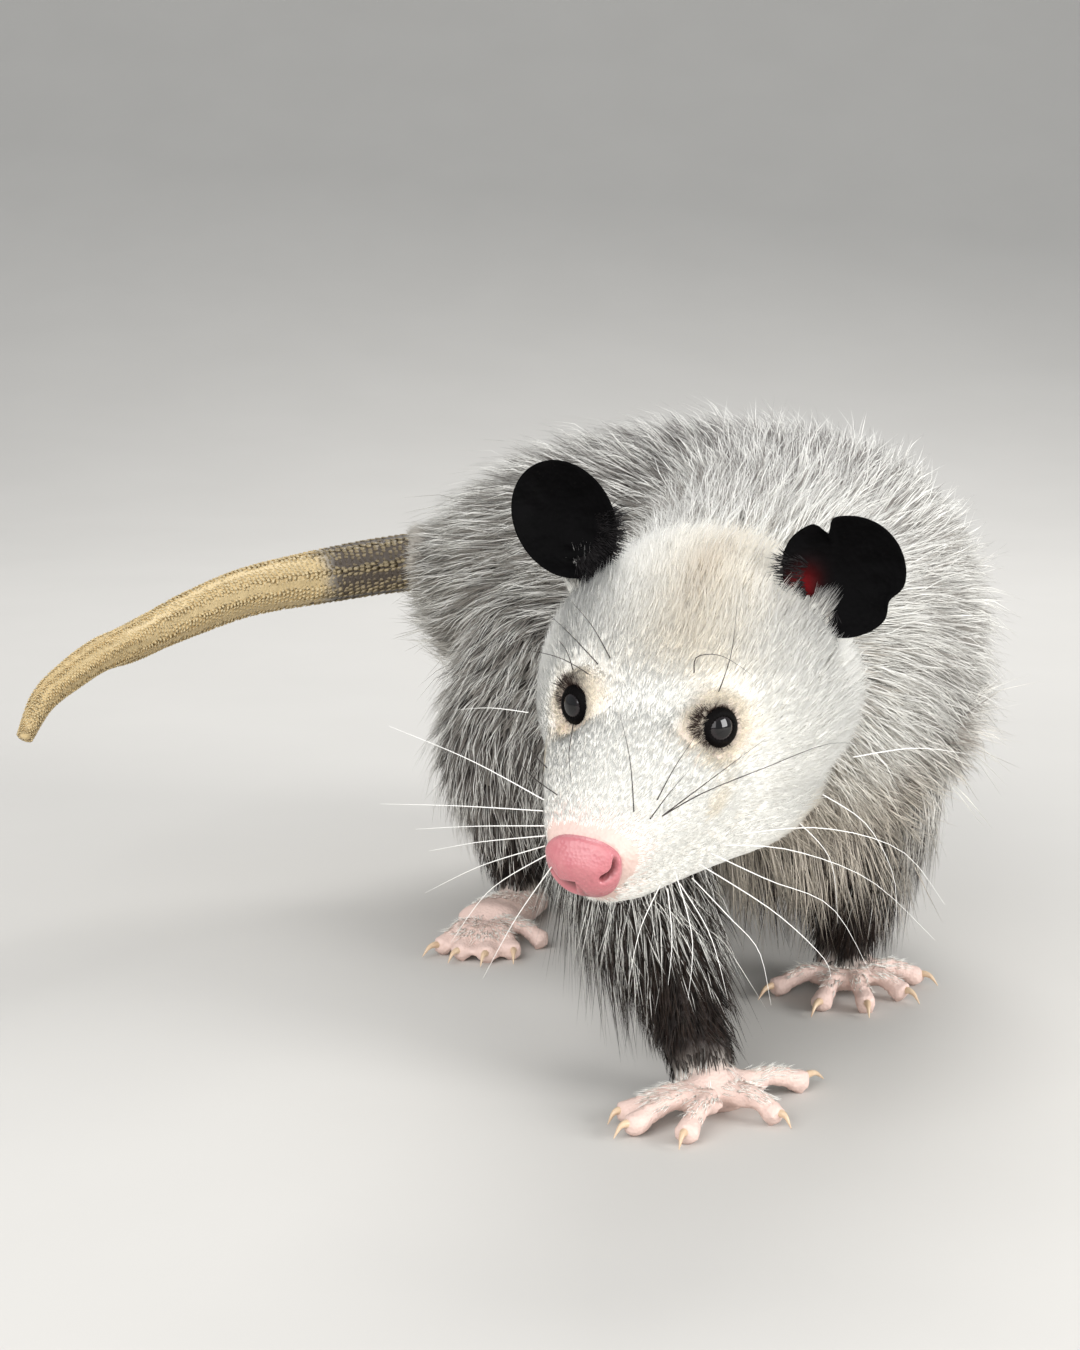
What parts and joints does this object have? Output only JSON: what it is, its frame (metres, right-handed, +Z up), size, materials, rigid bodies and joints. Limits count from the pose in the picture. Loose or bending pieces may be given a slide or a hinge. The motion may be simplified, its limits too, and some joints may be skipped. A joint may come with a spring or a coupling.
{
  "type": "opossum",
  "caption": "Life-size still model of a Virginia opossum standing with its head low and turned, coat in flat overlapping locks, bare tail curving out to one side",
  "frame": {"origin": "on the floor under the middle of the figure's bounding box", "axes": "+Z up, +Y from the muzzle towards the hindquarters along the longest extent, +X towards the animal's left flank"},
  "size_m": [0.3314, 0.3838, 0.1836],
  "materials": {
    "white_fur": "short white fur",
    "grey_fur": "long grey and white guard hair over dark underfur",
    "dark_fur": "dark brown fur with scattered white hairs",
    "nose_skin": "moist pink skin",
    "eye": "wet gloss",
    "ear_skin": "thin matt black skin",
    "toe_skin": "bare pink skin",
    "dark_tail": "scaly skin with sparse hair",
    "pale_tail": "scaly skin"
  },
  "bodies": {
    "root": {"head": "white_fur", "nose_pad": "nose_skin", "eye_left": "eye", "eye_right": "eye", "ear_left": "ear_skin", "ear_right": "ear_skin", "neck": "grey_fur", "torso_front": "grey_fur", "torso_rear": "grey_fur", "foreleg_left": "dark_fur", "foreleg_right": "dark_fur", "hindleg_left": "dark_fur", "hindleg_right": "dark_fur", "forefoot_left": "toe_skin", "forefoot_right": "toe_skin", "hindfoot_left": "toe_skin", "hindfoot_right": "toe_skin", "tail_base": "dark_tail", "tail_middle": "pale_tail", "tail_tip": "pale_tail"}
  },
  "joints": []
}
